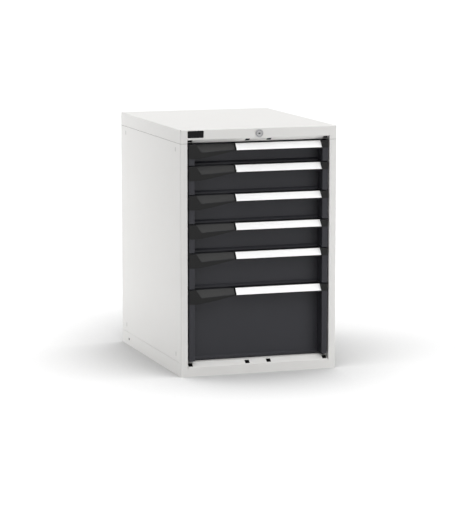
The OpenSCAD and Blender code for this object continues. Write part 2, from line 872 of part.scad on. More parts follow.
// Outline of a paddle from the front: slanting left edge, round corner and rising lower edge
module paddle_outline(k) {
    top = space_top(k);
    right = x_wall_start - paddle_end_gap;
    left_top = [-x_recess + miter_top + paddle_gap, top - cap_top];
    corner = [-x_recess + miter_low + paddle_gap, top - paddle_low];
    low_right = [right, top - paddle_high];
    reach = arc_reach(left_top, corner, low_right, paddle_corner_r);
    polygon([left_top, corner + reach * unit(left_top - corner), corner + reach * unit(low_right - corner),
        low_right, [right, top - cap_top]]);
    translate(arc_centre(left_top, corner, low_right, paddle_corner_r))
        circle(r = paddle_corner_r);
}

// Paddle, its rod and the hook behind the left strip, in one piece
module drawer_catch_lever(k) {
    left_top = -x_recess + miter_top + paddle_gap;
    right = x_wall_start - paddle_end_gap;
    rod_at = at(k, rod_v, rod_drop);
    nose_v = hook_reach - hook_t;
    color("#4a4b4d") {
        intersection() {
            along_x([left_top, right])
                polygon([on_paddle(k, grip_top, 0), on_paddle(k, paddle_low, 0),
                    on_paddle(k, paddle_low, paddle_t), on_paddle(k, grip_top, paddle_t)]);
            along_y([-cap_t, recess_d])
                paddle_outline(k);
        }
        rod_x(rod_at, rod_r, [hook_x0, x_wall_end]);
        along_x([hook_x0, hook_x0 + hook_t])
            translate(rod_at)
                polygon([[-hook_edge, hook_edge], [hook_reach, hook_edge], [hook_reach, -hook_nose],
                    [nose_v, -hook_nose], [nose_v, -hook_edge], [-hook_edge, -hook_edge]]);
    }
}

// Barrel with its rim, bored for the plug
module lock_barrel() {
    color("silver")
        difference() {
            union() {
                rod_y(0, lock_z, lock_rim_r, [-lock_rim_t, 0]);
                rod_y(0, lock_z, barrel_r, [-CUT, barrel_l]);
            }
            rod_y(0, lock_z, plug_r + plug_play, [-lock_rim_t - CUT, barrel_l + CUT]);
        }
}

// Plug with its keyway, cam and the pin that moves the lock bar
module lock_plug() {
    half = LOCK_TURN / 2;
    pin_x = pin_arm * cos(half);
    pin_z = lock_z + pin_arm * sin(half);
    face = plug_inset - lock_rim_t;
    color("lightgray")
        difference() {
            union() {
                rod_y(0, lock_z, plug_r, [face, cam_v + cam_t]);
                rod_y(0, lock_z, cam_r, [cam_v, cam_v + cam_t]);
                rod_y(pin_x, pin_z, pin_r, [cam_v, arm_v + arm_t + cam_gap]);
            }
            block(span(0, key_w), [face - CUT, face + key_d], span(lock_z, key_h));
        }
}

// Arm from the lock's cam to the right side, and the hooked bar that runs down there
module lock_bar() {
    arm_span = [arm_z, arm_z + arm_h];
    bar_span_v = [bar_v, bar_v + bar_t];
    bar_foot = space_foot(drawer_count) + hook_z;
    slot_z = arm_z + arm_h / 2;
    slot_half = pin_r + pin_play;
    color("slategray")
        difference() {
            union() {
                block([-pin_arm - pin_r, arm_x + arm_t], [arm_v, arm_v + arm_t], arm_span);
                block([arm_x, arm_x + arm_t], [arm_v, bar_v + bar_t], arm_span);
                block([arm_x, bar_x + bar_w], bar_span_v, arm_span);
                block([bar_x, bar_x + bar_w], bar_span_v, [bar_foot, arm_z + arm_h]);
                for (k = [1:drawer_count])
                    block([x_tray + rim_w + lug_gap, bar_x + bar_w], bar_span_v,
                        [space_foot(k) + hook_z, space_foot(k) + hook_z + lug_h]);
            }
            block([pin_reach - slot_half, pin_arm + slot_half], [arm_v - CUT, arm_v + arm_t + CUT],
                span(slot_z, 2 * slot_half));
        }
}

module badge_plate() {
    x0 = -x_open + badge_r;
    z0 = cab_h - badge_drop - badge_h + badge_r;
    w = badge_w - 2 * badge_r;
    h = badge_h - 2 * badge_r;
    color("#141414")
        along_y([-badge_t, 0])
            translate([x0, z0]) {
                translate([-badge_r, 0])
                    square([badge_w, h]);
                translate([0, -badge_r])
                    square([w, badge_h]);
                for (x = [0, w], z = [0, h])
                    translate([x, z])
                        circle(r = badge_r);
            }
}

left_side_panel();
right_side_panel();
back_panel();
top_cover();
base_frame();
plinth_rails();
runner_uprights();
cabinet_rails();
lock_barrel();
lock_plug();
lock_bar();
badge_plate();
for (k = [1:drawer_count]) {
    drawer_tray(k);
    drawer_front(k);
    drawer_handle(k);
    drawer_label(k);
    drawer_end_caps(k);
    drawer_catch_lever(k);
    drawer_rails(k);
    drawer_mid_rails(k);
}
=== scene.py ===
"""Looks of a workshop drawer cabinet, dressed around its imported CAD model.

Metres. Z is up, the front faces -Y and the origin is on the floor, mid-cabinet.
"""
import math
from collections import namedtuple

import bmesh
import bpy
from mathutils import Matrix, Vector


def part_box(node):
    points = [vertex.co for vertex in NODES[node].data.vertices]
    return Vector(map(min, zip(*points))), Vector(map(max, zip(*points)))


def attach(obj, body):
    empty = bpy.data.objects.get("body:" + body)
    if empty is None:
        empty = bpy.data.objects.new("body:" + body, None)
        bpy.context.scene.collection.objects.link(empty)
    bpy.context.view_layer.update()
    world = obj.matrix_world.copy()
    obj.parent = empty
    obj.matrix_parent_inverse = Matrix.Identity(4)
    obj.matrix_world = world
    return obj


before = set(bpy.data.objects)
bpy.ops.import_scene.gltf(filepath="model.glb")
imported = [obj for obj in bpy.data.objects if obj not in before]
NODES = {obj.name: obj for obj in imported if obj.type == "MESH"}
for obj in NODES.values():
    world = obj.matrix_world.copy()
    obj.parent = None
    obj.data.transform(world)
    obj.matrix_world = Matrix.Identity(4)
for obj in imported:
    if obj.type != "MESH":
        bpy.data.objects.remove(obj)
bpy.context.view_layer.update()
DRAWERS = range(1, 7)
MM = 0.001


def in_mm(*points):
    """Points that are written in millimetres, in metres."""
    return [tuple(value * MM for value in point) for point in points]


# Camera at the photograph's viewing angle
CAMERA_AT = (-2.777, -8.361, 1.6675)
CAMERA_YAW = math.radians(18.41)
CAMERA_PITCH = math.radians(8.46)
LENS_MM = 175.1
SENSOR_MM = 36.0
CLIP_END = 200.0

# Light: soft suns from above and from the front, two near fills and a weak even surround
SUNS = (
    {"name": "overhead", "strength": 3.20, "spread": math.radians(80), "from": (0.0, -0.10, 1.0)},
    {"name": "front_key", "strength": 0.72, "spread": math.radians(32), "from": (0.12, -0.735, 0.667)},
)
FILLS = (
    {"name": "left_fill", "strength": 15.5, "size": (0.8, 0.8),
     "at": (-1.75, 1.25, 0.42), "to": (-0.28, 0.0, 0.42)},
    {"name": "right_fill", "strength": 2.4, "size": (0.5, 0.8),
     "at": (0.95, -1.1, 0.5), "to": (0.15, -0.36, 0.45)},
)
KEY = "front_key"
SURROUND = 0.03
WHITE = (1.0, 1.0, 1.0, 1.0)

# Floor: pale, with a painted contact shadow in its colour that is full where half of the sky is hidden
FLOOR_HALF = 90.0
FLOOR_COLOUR = (0.90, 0.90, 0.90, 1.0)
FLOOR_BOUNCE = (0.86, 0.86, 0.86, 1.0)
CONTACT_REACH = 1.0
CONTACT_FULL = 0.5
CONTACT_SAMPLES = 16
PAINTED_SHADOW_DARK = (0.48, 0.48, 0.48, 1.0)

# Looks: base colour in linear light, the share by which it wanders, the range of the roughness,
# the specular level and whether it is metal
Look = namedtuple("Look", "colour shift rough gloss metal", defaults=(0.5, 0.0))
PAINT_ROUGH = (0.40, 0.52)
PLASTIC_ROUGH = (0.42, 0.58)
CARCASS_PAINT = Look((0.654, 0.648, 0.635), 0.010, PAINT_ROUGH, gloss=0.45)
DRAWER_PAINT = Look((0.0206, 0.0209, 0.0256), 0.05, PAINT_ROUGH, gloss=0.34)
# Uprights: darker than the body's paint, so that their tabs show as dark marks in the sides: painted shade
# of the slots around the tabs
UPRIGHT_SHADED_PAINT = Look((0.470, 0.466, 0.456), 0.02, PAINT_ROUGH, gloss=0.35)
CAP_PLASTIC = Look((0.0105, 0.0105, 0.0105), 0.06, PLASTIC_ROUGH, gloss=0.2)
PADDLE_PLASTIC = Look((0.0325, 0.0326, 0.0326), 0.06, PLASTIC_ROUGH, gloss=0.25)
# Near-black of the pieces that paint shade in seams, slots, holes, the keyhole and the lock's groove
PAINTED_SHADE_BLACK = Look((0.0025, 0.0025, 0.0025), 0.06, PLASTIC_ROUGH, gloss=0.03)
ANODISED_BLACK = Look((0.010, 0.010, 0.011), 0.15, (0.34, 0.46), gloss=0.25)
ZINC = Look((0.56, 0.57, 0.58), 0.10, (0.30, 0.46), metal=1.0)
LOCK_NICKEL = Look((0.43, 0.43, 0.435), 0.08, (0.28, 0.40), metal=1.0)
LABEL_CARD = Look((0.975, 0.975, 0.975), 0.012, (0.45, 0.60), gloss=0.2)
BADGE_BLACK = Look((0.004, 0.004, 0.0045), 0.15, (0.22, 0.32), gloss=0.15)

# Noise in the finishes: grain size, detail and, where it is drawn out, how far along X, Y and Z
ORANGE_PEEL = {"size": 1.6 * MM}
PAINT_GRAIN = {"size": 0.45 * MM}
PAINT_CLOUDS = {"size": 60 * MM, "detail": 4.0}
SHEET_WAVES = {"size": 140 * MM, "detail": 1.0}
ERODED_MOULD = {"size": 0.7 * MM, "detail": 3.0}
PLASTIC_CLOUDS = {"size": 25 * MM}
ANODISED_LINES = {"size": 0.35 * MM, "detail": 3.0, "stretch": (400.0, 1.0, 1.0)}
ZINC_LINES = {"size": 0.5 * MM, "stretch": (1.0, 300.0, 1.0)}
NICKEL_CLOUDS = {"size": 3 * MM, "detail": 3.0}
NICKEL_GRAIN = {"size": 0.8 * MM}
CARD_FIBRE = {"size": 0.6 * MM, "detail": 4.0, "stretch": (3.0, 1.0, 1.0)}
CARD_WAVES = {"size": 30 * MM, "detail": 1.0}
BADGE_HAZE = {"size": 4 * MM, "detail": 3.0}
BADGE_WAVES = {"size": 8 * MM}
ZINC_CRYSTAL = 5 * MM
TURNING_PITCH = 0.5 * MM
TURNING_WANDER = 0.4

# Depth of the relief that they give
PEEL_DEPTH = 0.020 * MM
GRAIN_DEPTH = 0.006 * MM
SHEET_WAVE_DEPTH = 0.25 * MM
MOULD_DEPTH = 0.03 * MM
ANODISED_LINE_DEPTH = 0.008 * MM
ZINC_LINE_DEPTH = 0.006 * MM
TURNING_DEPTH = 0.010 * MM
CARD_WAVE_DEPTH = 0.04 * MM
BADGE_WAVE_DEPTH = 0.01 * MM

# Width of the small rounding along the edges of each kind of piece, and how the edges are found
SHEET_EDGE = 0.35 * MM
PLASTIC_EDGE = 0.5 * MM
METAL_EDGE = 0.3 * MM
CARD_EDGE = 0.2 * MM
FINE_EDGE = 0.12 * MM
EDGE_SEGMENTS = 2
SHARP_ANGLE = math.radians(40)
FLAT_ANGLE = math.radians(0.5)
SEAM_WELD = 0.005 * MM
FACE_WEIGHT = 100

# Black pieces that fill the slots in the sloped edges above and below the opening: painted shade in the
# slots
FRONT_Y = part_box("left_side_panel")[0].y
SLOPE_DEPTH = 22 * MM
HEAD_SLOPE_Z = (817 * MM, 803.5 * MM)
SILL_SLOPE_Z = (31.5 * MM, 48.3 * MM)
SLOT_X = (-245 * MM, -39 * MM, 39 * MM, 245 * MM)
SLOT_SIZE = (16 * MM, 12.5 * MM)
SLOT_SHADE_PLAY = 0.2 * MM
SLOT_SHADE_SINK = 0.1 * MM
SLOT_SHADE_FLANGE = 1.5 * MM
FLANGE_BEHIND = (2.3 * MM, 3.3 * MM)

# Turned forms, as radii and heights above the surface: closed outlines for the lock's ring and for the black
# ring in its groove that paints the groove's shade, and profiles from the back to the face for the black
# pieces that paint shade in hollows
LOCK_RING = in_mm((7.0, 0.0), (7.3, 0.35), (9.4, 0.35), (10.0, -0.05), (11.2, -0.05),
                  (11.9, 0.6), (13.4, 0.6), (14.1, 0.1), (14.1, -0.4), (7.0, -0.4))
LOCK_GROOVE_SHADE = in_mm((10.3, -0.1), (10.3, 0.25), (10.6, 0.4), (10.9, 0.25), (10.9, -0.1))
CORNER_RELIEF_SHADE = in_mm((0.7, -1.15), (1.05, -0.85), (1.25, -0.45), (1.25, -0.15), (0.8, -0.05))
PLINTH_HOLE_SHADE = in_mm((3.0, -2.6), (3.3, -2.2), (3.3, 0.05), (4.5, 0.05), (4.6, 0.35), (4.2, 0.8), (3.0, 1.0))
TURNED_STEPS = 96

# Two black leaves on the face of the lock's plug, with the slit between them: painted shade of the keyhole
KEYHOLE_SHADE_SIZE = (6.6 * MM, 4.2 * MM)
KEYHOLE_SHADE_SLIT = 0.5 * MM
KEYHOLE_SHADE_PROUD = (0.05 * MM, 0.35 * MM)

# Sloped grip of a drawer front: where it starts and how far it runs forward and down
GRIP_TOP = 2 * MM
GRIP_BACK = 18 * MM
GRIP_DROP = 23 * MM
GRIP_ANGLE = math.atan2(GRIP_BACK, GRIP_DROP)

# White holder around each label: its run down the grip, its bands and how far it stands proud
HOLDER_RUN = (-0.2 * MM, 27.5 * MM)
HOLDER_TOP_BAND = 8.2 * MM
HOLDER_SIDE_BAND = 6.0 * MM
HOLDER_FOOT_BAND = 0.9 * MM
HOLDER_PROUD = 0.4 * MM

# Black strip on the wall between paddle and label, wider at its upper end: painted shade on the wall's lit
# sloped top
WALL_FOOT = (-2.0 * MM, 22 * MM)
WALL_STRIP_X = (-84.3 * MM, -82.0 * MM, -80.3 * MM)
WALL_STRIP_T = (0.05 * MM, 0.45 * MM)

# Lip folded down along the lower edge of each front's recessed panel
LIP_HALF_W = 230.9 * MM
LIP_DEPTH = (36.9 * MM, 37.95 * MM)
LIP_HEIGHT = (-2.0 * MM, 2.6 * MM)

# Black strip in the seam between the side panels and the top cover: painted shade of the seam
SIDE_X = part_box("right_side_panel")[1].x
BACK_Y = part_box("right_side_panel")[1].y
TOP_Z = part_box("top_cover")[1].z
BEND_R = 3.2 * MM
BEND_STEPS = 8
SEAM_ENDS_X = (256.7 * MM, 262.5 * MM)
SEAM_SHADE_BEHIND = (0.3 * MM, 1.1 * MM)
SEAM_SHADE_PLAY = 0.03 * MM

# Fixing hole in each side of the plinth, from the back and from the floor
PLINTH_HOLE = (89 * MM, 24 * MM)


class Finish:
    """One procedural material, with short ways to add the nodes that the finishes share."""

    def __init__(self, name):
        self.material = bpy.data.materials.new(name)
        self.material.use_nodes = True
        self.tree = self.material.node_tree
        self.shader = self.tree.nodes["Principled BSDF"]
        self.place = self.tree.nodes.new("ShaderNodeTexCoord").outputs["Object"]

    def add(self, kind, **settings):
        node = self.tree.nodes.new(kind)
        for key, value in settings.items():
            setattr(node, key, value)
        return node

    def link(self, source, target):
        self.tree.links.new(source, target)

    def scaled(self, size, stretch=(1.0, 1.0, 1.0), centre=(0.0, 0.0, 0.0)):
        """Object coordinates in units of size, drawn out by stretch and counted from centre."""
        node = self.add("ShaderNodeMapping", vector_type="TEXTURE")
        node.inputs["Location"].default_value = centre
        node.inputs["Scale"].default_value = [size * s for s in stretch]
        self.link(self.place, node.inputs["Vector"])
        return node.outputs["Vector"]

    def noise(self, size, detail=2.0, stretch=(1.0, 1.0, 1.0)):
        """Soft noise, from 0 to 1, with grains of about the given size."""
        node = self.add("ShaderNodeTexNoise")
        node.inputs["Scale"].default_value = 1.0
        node.inputs["Detail"].default_value = detail
        self.link(self.scaled(size, stretch), node.inputs["Vector"])
        return node.outputs["Fac"]

    def cells(self, size):
        """Crystal-like cells of the given size, each with a grey of its own."""
        node = self.add("ShaderNodeTexVoronoi")
        node.inputs["Scale"].default_value = 1.0
        self.link(self.scaled(size), node.inputs["Vector"])
        return node.outputs["Color"]

    def rings(self, pitch, centre):
        """Turning marks around an axis along Y through centre."""
        node = self.add("ShaderNodeTexWave", wave_type="RINGS", rings_direction="Y")
        node.inputs["Scale"].default_value = 1.0 / math.tau
        node.inputs["Distortion"].default_value = TURNING_WANDER
        self.link(self.scaled(pitch, centre=centre), node.inputs["Vector"])
        return node.outputs["Fac"]

    def spread(self, source, low, high):
        """Maps a source from 0 to 1 on to low to high."""
        node = self.add("ShaderNodeMapRange")
        node.inputs["To Min"].default_value = low
        node.inputs["To Max"].default_value = high
        self.link(source, node.inputs["Value"])
        return node.outputs["Result"]

    def tint(self, source, colour, shift):
        """Base colour that wanders by shift, as a share, to both sides of colour."""
        node = self.add("ShaderNodeMix", data_type="RGBA")
        node.inputs["A"].default_value = (*[c * (1 - shift) for c in colour], 1.0)
        node.inputs["B"].default_value = (*[c * (1 + shift) for c in colour], 1.0)
        self.link(source, node.inputs["Factor"])
        self.link(node.outputs["Result"], self.shader.inputs["Base Color"])

    def coat(self, look, colour_from, rough_from):
        """Gives the shader a look, with its colour and its roughness led by sources from 0 to 1."""
        self.tint(colour_from, look.colour, look.shift)
        self.link(self.spread(rough_from, *look.rough), self.shader.inputs["Roughness"])
        self.shader.inputs["Specular IOR Level"].default_value = look.gloss
        self.shader.inputs["Metallic"].default_value = look.metal

    def bump(self, *layers):
        """Adds up relief: each layer is a source from 0 to 1 and its depth."""
        below = None
        for source, depth in layers:
            node = self.add("ShaderNodeBump")
            node.inputs["Distance"].default_value = depth
            self.link(source, node.inputs["Height"])
            if below:
                self.link(below, node.inputs["Normal"])
            below = node.outputs["Normal"]
        self.link(below, self.shader.inputs["Normal"])


def powder_coat(name, look):
    """Baked paint on sheet steel: orange peel, a fine grain and the sheet's slight waviness."""
    finish = Finish(name)
    peel = finish.noise(**ORANGE_PEEL)
    grain = finish.noise(**PAINT_GRAIN)
    waves = finish.noise(**SHEET_WAVES)
    finish.coat(look, finish.noise(**PAINT_CLOUDS), peel)
    finish.bump((waves, SHEET_WAVE_DEPTH), (peel, PEEL_DEPTH), (grain, GRAIN_DEPTH))
    return finish.material


def moulded_plastic(name, look):
    """Injection-moulded plastic with a fine eroded texture; also the near-black of the pieces that paint
    shade.
    """
    finish = Finish(name)
    texture = finish.noise(**ERODED_MOULD)
    finish.coat(look, finish.noise(**PLASTIC_CLOUDS), texture)
    finish.bump((texture, MOULD_DEPTH))
    return finish.material


def anodised_extrusion(name, look):
    """Anodised aluminium with its drawing lines along X."""
    finish = Finish(name)
    lines = finish.noise(**ANODISED_LINES)
    finish.coat(look, lines, lines)
    finish.bump((lines, ANODISED_LINE_DEPTH))
    return finish.material


def zinc_plate(name, look):
    """Zinc-plated steel: faint crystals and drawing lines along the rails."""
    finish = Finish(name)
    lines = finish.noise(**ZINC_LINES)
    finish.coat(look, finish.cells(ZINC_CRYSTAL), lines)
    finish.bump((lines, ZINC_LINE_DEPTH))
    return finish.material


def turned_nickel(name, look, centre):
    """Plated lock metal with fine turning marks around the lock's axis."""
    finish = Finish(name)
    marks = finish.rings(TURNING_PITCH, centre)
    finish.coat(look, finish.noise(**NICKEL_CLOUDS), finish.noise(**NICKEL_GRAIN))
    finish.bump((marks, TURNING_DEPTH))
    return finish.material


def label_card(name, look):
    """Matt card."""
    finish = Finish(name)
    fibre = finish.noise(**CARD_FIBRE)
    finish.coat(look, fibre, fibre)
    finish.bump((finish.noise(**CARD_WAVES), CARD_WAVE_DEPTH))
    return finish.material


def glossy_badge(name, look):
    """Blank plate with a smooth coat."""
    finish = Finish(name)
    haze = finish.noise(**BADGE_HAZE)
    finish.coat(look, haze, haze)
    finish.bump((finish.noise(**BADGE_WAVES), BADGE_WAVE_DEPTH))
    return finish.material


def make_finishes(lock_centre):
    return {
        "carcass": powder_coat("carcass_paint_finish", CARCASS_PAINT),
        "drawer": powder_coat("drawer_paint_finish", DRAWER_PAINT),
        "upright": powder_coat("upright_shaded_paint_finish", UPRIGHT_SHADED_PAINT),
        "zinc": zinc_plate("rail_steel_finish", ZINC),
        "nickel": turned_nickel("lock_metal_finish", LOCK_NICKEL, lock_centre),
        "handle": anodised_extrusion("handle_aluminium_finish", ANODISED_BLACK),
        "card": label_card("label_white_finish", LABEL_CARD),
        "cap": moulded_plastic("cap_plastic_finish", CAP_PLASTIC),
        "paddle": moulded_plastic("paddle_plastic_finish", PADDLE_PLASTIC),
        # Near-black finish of the pieces that paint shade
        "shade_black": moulded_plastic("painted_shade_finish", PAINTED_SHADE_BLACK),
        "badge": glossy_badge("badge_black_finish", BADGE_BLACK),
    }


def shading_cleaner():
    """Geometry nodes that drop the imported normals and close the seams between the faces."""
    group = bpy.data.node_groups.new("clean_faces", "GeometryNodeTree")
    group.interface.new_socket("Geometry", in_out="INPUT", socket_type="NodeSocketGeometry")
    group.interface.new_socket("Geometry", in_out="OUTPUT", socket_type="NodeSocketGeometry")
    drop = group.nodes.new("GeometryNodeRemoveAttribute")
    drop.inputs["Name"].default_value = "custom_normal"
    merge = group.nodes.new("GeometryNodeMergeByDistance")
    merge.inputs["Distance"].default_value = SEAM_WELD
    smooth = group.nodes.new("GeometryNodeSetShadeSmooth")
    end = group.nodes.new("NodeGroupOutput")
    chain = [group.nodes.new("NodeGroupInput"), drop, merge, smooth, end]
    for before, after in zip(chain, chain[1:]):
        group.links.new(before.outputs["Geometry"], after.inputs["Geometry"])
    return group


def add_edge_rounding(piece, width):
    """Small round edges, with the flat faces still shaded flat."""
    edges = piece.modifiers.new("round_edges", "BEVEL")
    edges.width = width
    edges.segments = EDGE_SEGMENTS
    edges.limit_method = "ANGLE"
    edges.angle_limit = SHARP_ANGLE
    edges.use_clamp_overlap = False
    edges.miter_outer = "MITER_ARC"
    shade = piece.modifiers.new("even_shade", "WEIGHTED_NORMAL")
    shade.mode = "FACE_AREA"
    shade.weight = FACE_WEIGHT


def round_edges(node, width, cleaner):
    """Joins a node's flat faces and gives its edges a small rounding, without touching its mesh."""
    clean = node.modifiers.new("clean_faces", "NODES")
    clean.node_group = cleaner
    flat = node.modifiers.new("flat_faces", "DECIMATE")
    flat.decimate_type = "DISSOLVE"
    flat.angle_limit = FLAT_ANGLE
    add_edge_rounding(node, width)


def dress(names, material, width, cleaner):
    """Gives CAD nodes their finish and, where a width is given, their edge rounding."""
    for name in names:
        node = NODES[name]
        node.data.materials.clear()
        node.data.materials.append(material)
        if width:
            round_edges(node, width, cleaner)


def per_drawer(*parts):
    return [f"drawer_{k}_{part}" for k in DRAWERS for part in parts]


def dress_nodes(finishes):
    """Dresses every CAD node; the sides, uprights and trays keep the edges that they have."""
    dressing = (
        (["back_panel", "top_cover", "base_frame", "plinth_rails"], "carcass", SHEET_EDGE),
        (["left_side_panel", "right_side_panel"], "carcass", None),
        (["runner_uprights"], "upright", None),
        (per_drawer("front"), "drawer", SHEET_EDGE),
        (per_drawer("tray"), "drawer", None),
        (per_drawer("handle"), "handle", METAL_EDGE),
        (per_drawer("label"), "card", CARD_EDGE),
        (per_drawer("end_caps"), "cap", PLASTIC_EDGE),
        (per_drawer("catch_lever"), "paddle", PLASTIC_EDGE),
        (per_drawer("rails", "mid_rails"), "zinc", METAL_EDGE),
        (["cabinet_rails", "lock_bar"], "zinc", METAL_EDGE),
        (["lock_barrel", "lock_plug"], "nickel", METAL_EDGE),
        (["badge_plate"], "badge", METAL_EDGE),
    )
    cleaner = shading_cleaner()
    for names, finish, width in dressing:
        dress(names, finishes[finish], width, cleaner)


def join_loops(mesh, loops, closed):
    """Joins a row of loops of points into a skin, closed to a ring or by a face at each end."""
    loops = [[mesh.verts.new(point) for point in loop] for loop in loops]
    for i in range(0 if closed else 1, len(loops)):
        before, after = loops[i - 1], loops[i]
        for j in range(len(after)):
            mesh.faces.new((before[j - 1], before[j], after[j], after[j - 1]))
    if not closed:
        mesh.faces.new(loops[0])
        mesh.faces.new(loops[-1])


def prism_along_x(mesh, outline, x):
    """Adds a solid to mesh: an outline of (y, z) points drawn out between two x."""
    join_loops(mesh, [[(at, y, z) for y, z in outline] for at in x], closed=False)


def turned(mesh, profile, centre, axis, closed):
    """Adds a turned form to mesh: a profile of radii and heights, around an axis through centre."""
    side = axis.orthogonal().normalized()
    other = axis.cross(side)
    ways = []
    for step in range(TURNED_STEPS):
        turn = math.tau * step / TURNED_STEPS
        ways.append(side * math.cos(turn) + other * math.sin(turn))
    join_loops(mesh, [[centre + way * r + axis * h for way in ways] for r, h in profile], closed)


def add_piece(name, mesh, material, body, edge):
    """Makes an object of a finished mesh, rounds its edges and lets it ride on a body."""
    bmesh.ops.recalc_face_normals(mesh, faces=mesh.faces)
    data = bpy.data.meshes.new(name)
    mesh.to_mesh(data)
    mesh.free()
    data.shade_smooth()
    data.materials.append(material)
    piece = bpy.data.objects.new(name, data)
    bpy.context.scene.collection.objects.link(piece)
    add_edge_rounding(piece, edge)
    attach(piece, body)


def on_grip(k, down, proud):
    """Point (y, z) on the sloped grip of drawer k: so far down it, and so far in front of its face."""
    depth = GRIP_BACK - down * math.sin(GRIP_ANGLE) - proud * math.cos(GRIP_ANGLE)
    drop = GRIP_TOP + down * math.cos(GRIP_ANGLE) - proud * math.sin(GRIP_ANGLE)
    return (FRONT_Y + depth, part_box(f"drawer_{k}_front")[1].z - drop)


def add_label_holder(k, material):
    """Thin white frame that lies on the grip and holds the label's edges down."""
    low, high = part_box(f"drawer_{k}_label")
    top, foot = HOLDER_RUN
    outer = (low.x, high.x, top, foot)
    inner = (low.x + HOLDER_SIDE_BAND, high.x - HOLDER_SIDE_BAND,
             top + HOLDER_TOP_BAND, foot - HOLDER_FOOT_BAND)
    rims = ((outer, 0.0), (outer, HOLDER_PROUD), (inner, HOLDER_PROUD), (inner, 0.0))
    loops = []
    for (x0, x1, s0, s1), proud in rims:
        corners = ((x0, s0), (x1, s0), (x1, s1), (x0, s1))
        loops.append([(x, *on_grip(k, s, proud)) for x, s in corners])
    mesh = bmesh.new()
    join_loops(mesh, loops, closed=True)
    add_piece(f"drawer_{k}_label_holder", mesh, material, f"drawer_{k}", FINE_EDGE)


def add_wall_shade_strip(k, material):
    """Black strip on the sloped top of the wall between a paddle and its label: painted shade."""
    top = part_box(f"drawer_{k}_front")[1].z
    upper = Vector(on_grip(k, 0.0, 0.0))
    lower = Vector((FRONT_Y + WALL_FOOT[0], top - WALL_FOOT[1]))
    down = (lower - upper).normalized()
    outward = Vector((down.y, -down.x))
    left, right_low, right_high = WALL_STRIP_X
    corners = ((left, upper), (right_high, upper), (right_low, lower), (left, lower))
    loops = [[(x, *(at + outward * proud)) for x, at in corners] for proud in WALL_STRIP_T]
    mesh = bmesh.new()
    join_loops(mesh, loops, closed=False)
    add_piece(f"drawer_{k}_wall_shade_strip", mesh, material, f"drawer_{k}", FINE_EDGE)


def add_hem_lip(k, material):
    """Lip folded down in front of the sloped lower edge of a drawer front."""
    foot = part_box(f"drawer_{k}_front")[0].z
    y0, y1 = (FRONT_Y + depth for depth in LIP_DEPTH)
    z0, z1 = (foot + height for height in LIP_HEIGHT)
    mesh = bmesh.new()
    prism_along_x(mesh, [(y0, z0), (y1, z0), (y1, z1), (y0, z1)], (-LIP_HALF_W, LIP_HALF_W))
    add_piece(f"drawer_{k}_hem_lip", mesh, material, f"drawer_{k}", METAL_EDGE)


def slope_line(z, y, behind):
    """Outline between two depths along a slope, at two distances behind its face."""
    def at(depth, offset):
        share = depth / SLOPE_DEPTH
        return (FRONT_Y + depth, z[0] + (z[1] - z[0]) * share + offset)
    return [at(y[0], behind[0]), at(y[1], behind[0]), at(y[1], behind[1]), at(y[0], behind[1])]


def add_slot_shades(name, z, inward, material):
    """Black pieces in the four slots of a slope, each held by a flange behind the sheet: painted shade in
    the slots.
    """
    mesh = bmesh.new()
    middle = SLOPE_DEPTH / 2
    half_w = SLOT_SIZE[0] / 2 - SLOT_SHADE_PLAY
    half_d = SLOT_SIZE[1] / 2 - SLOT_SHADE_PLAY
    body = slope_line(z, (middle - half_d, middle + half_d), (inward * SLOT_SHADE_SINK, inward * FLANGE_BEHIND[0]))
    flange = slope_line(z, (middle - half_d - SLOT_SHADE_FLANGE, middle + half_d + SLOT_SHADE_FLANGE),
                        [inward * behind for behind in FLANGE_BEHIND])
    for x in SLOT_X:
        prism_along_x(mesh, body, (x - half_w, x + half_w))
        prism_along_x(mesh, flange, (x - half_w - SLOT_SHADE_FLANGE, x + half_w + SLOT_SHADE_FLANGE))
    add_piece(name, mesh, material, "cabinet", METAL_EDGE)


def add_lock_rings(centre, nickel, shade_black):
    """Turned ring on the face of the lock's rim, and a black ring in its groove that paints the groove's
    shade.
    """
    face = Vector((centre.x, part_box("lock_barrel")[0].y, centre.z))
    forward = Vector((0.0, -1.0, 0.0))
    ring = bmesh.new()
    turned(ring, LOCK_RING, face, forward, closed=True)
    add_piece("lock_ring", ring, nickel, "cabinet", FINE_EDGE)
    groove_shade_ring = bmesh.new()
    turned(groove_shade_ring, LOCK_GROOVE_SHADE, face, forward, closed=True)
    add_piece("lock_groove_shade", groove_shade_ring, shade_black, "cabinet", FINE_EDGE)


def add_keyhole_shade(centre, material):
    """Two black leaves around the keyway, which turn with the lock's plug: painted shade of the keyhole."""
    keyhole_leaves = bmesh.new()
    plug_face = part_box("lock_plug")[0].y
    y0, y1 = (plug_face - proud for proud in KEYHOLE_SHADE_PROUD)
    half_w = KEYHOLE_SHADE_SIZE[0] / 2
    for way in (1, -1):
        z0 = centre.z + way * KEYHOLE_SHADE_SLIT / 2
        z1 = centre.z + way * KEYHOLE_SHADE_SIZE[1] / 2
        leaf = [(y0, z0), (y1, z0), (y1, z1), (y0, z1)]
        prism_along_x(keyhole_leaves, leaf, (centre.x - half_w, centre.x + half_w))
    add_piece("lock_keyhole_shade", keyhole_leaves, material, "lock_core", FINE_EDGE)


def seam_path(behind):
    """Plan of the seam on the right, behind the outer face: from the front post round to the back."""
    r = BEND_R - behind
    x = SIDE_X - BEND_R
    bends = [math.pi / 2 * step / BEND_STEPS for step in range(BEND_STEPS + 1)]
    path = [(SEAM_ENDS_X[0], FRONT_Y + behind)]
    path += [(x + r * math.sin(a), FRONT_Y + BEND_R - r * math.cos(a)) for a in bends]
    path += [(x + r * math.cos(a), BACK_Y - BEND_R + r * math.sin(a)) for a in bends]
    path += [(SEAM_ENDS_X[1], BACK_Y - behind)]
    return path


